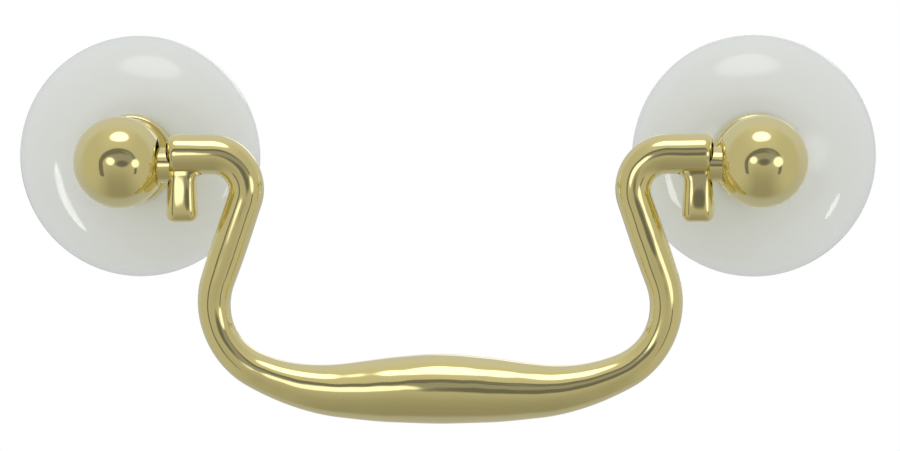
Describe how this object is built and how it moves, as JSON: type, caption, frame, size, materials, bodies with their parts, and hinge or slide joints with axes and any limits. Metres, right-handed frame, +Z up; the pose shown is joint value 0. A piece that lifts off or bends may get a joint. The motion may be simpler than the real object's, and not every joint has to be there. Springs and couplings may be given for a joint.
{
  "type": "bail pull",
  "caption": "Drawer pull: a swan-neck brass bail with a swelling grip swings on its pins in ball posts, over domed white porcelain rosettes.",
  "frame": {"origin": "midway between the two fixing screws, on the drawer face where the rosettes sit", "axes": "+X to the right along the line of the screws, +Z up, +Y into the drawer front, so the pull stands out towards -Y"},
  "size_m": [0.1062, 0.0454, 0.0464],
  "materials": {
    "white_porcelain": "clear glaze on a white body, bare on the foot ring",
    "polished_brass": "pale yellow brass, polished and lacquered",
    "zinc_plated_steel": "bright zinc plate"
  },
  "bodies": {
    "mounted_posts": {"left_rosette": "white_porcelain", "right_rosette": "white_porcelain", "left_post": "polished_brass", "right_post": "polished_brass", "fixing_screws": "zinc_plated_steel"},
    "bail": {"bail": "polished_brass"}
  },
  "joints": [
    {"name": "bail_swing", "type": "hinge", "parent": "mounted_posts", "child": "bail", "pos_m": [0, -0.0186, -0.00038], "axis": [-1, 0, 0], "range_deg": [-32, 212]}
  ]
}
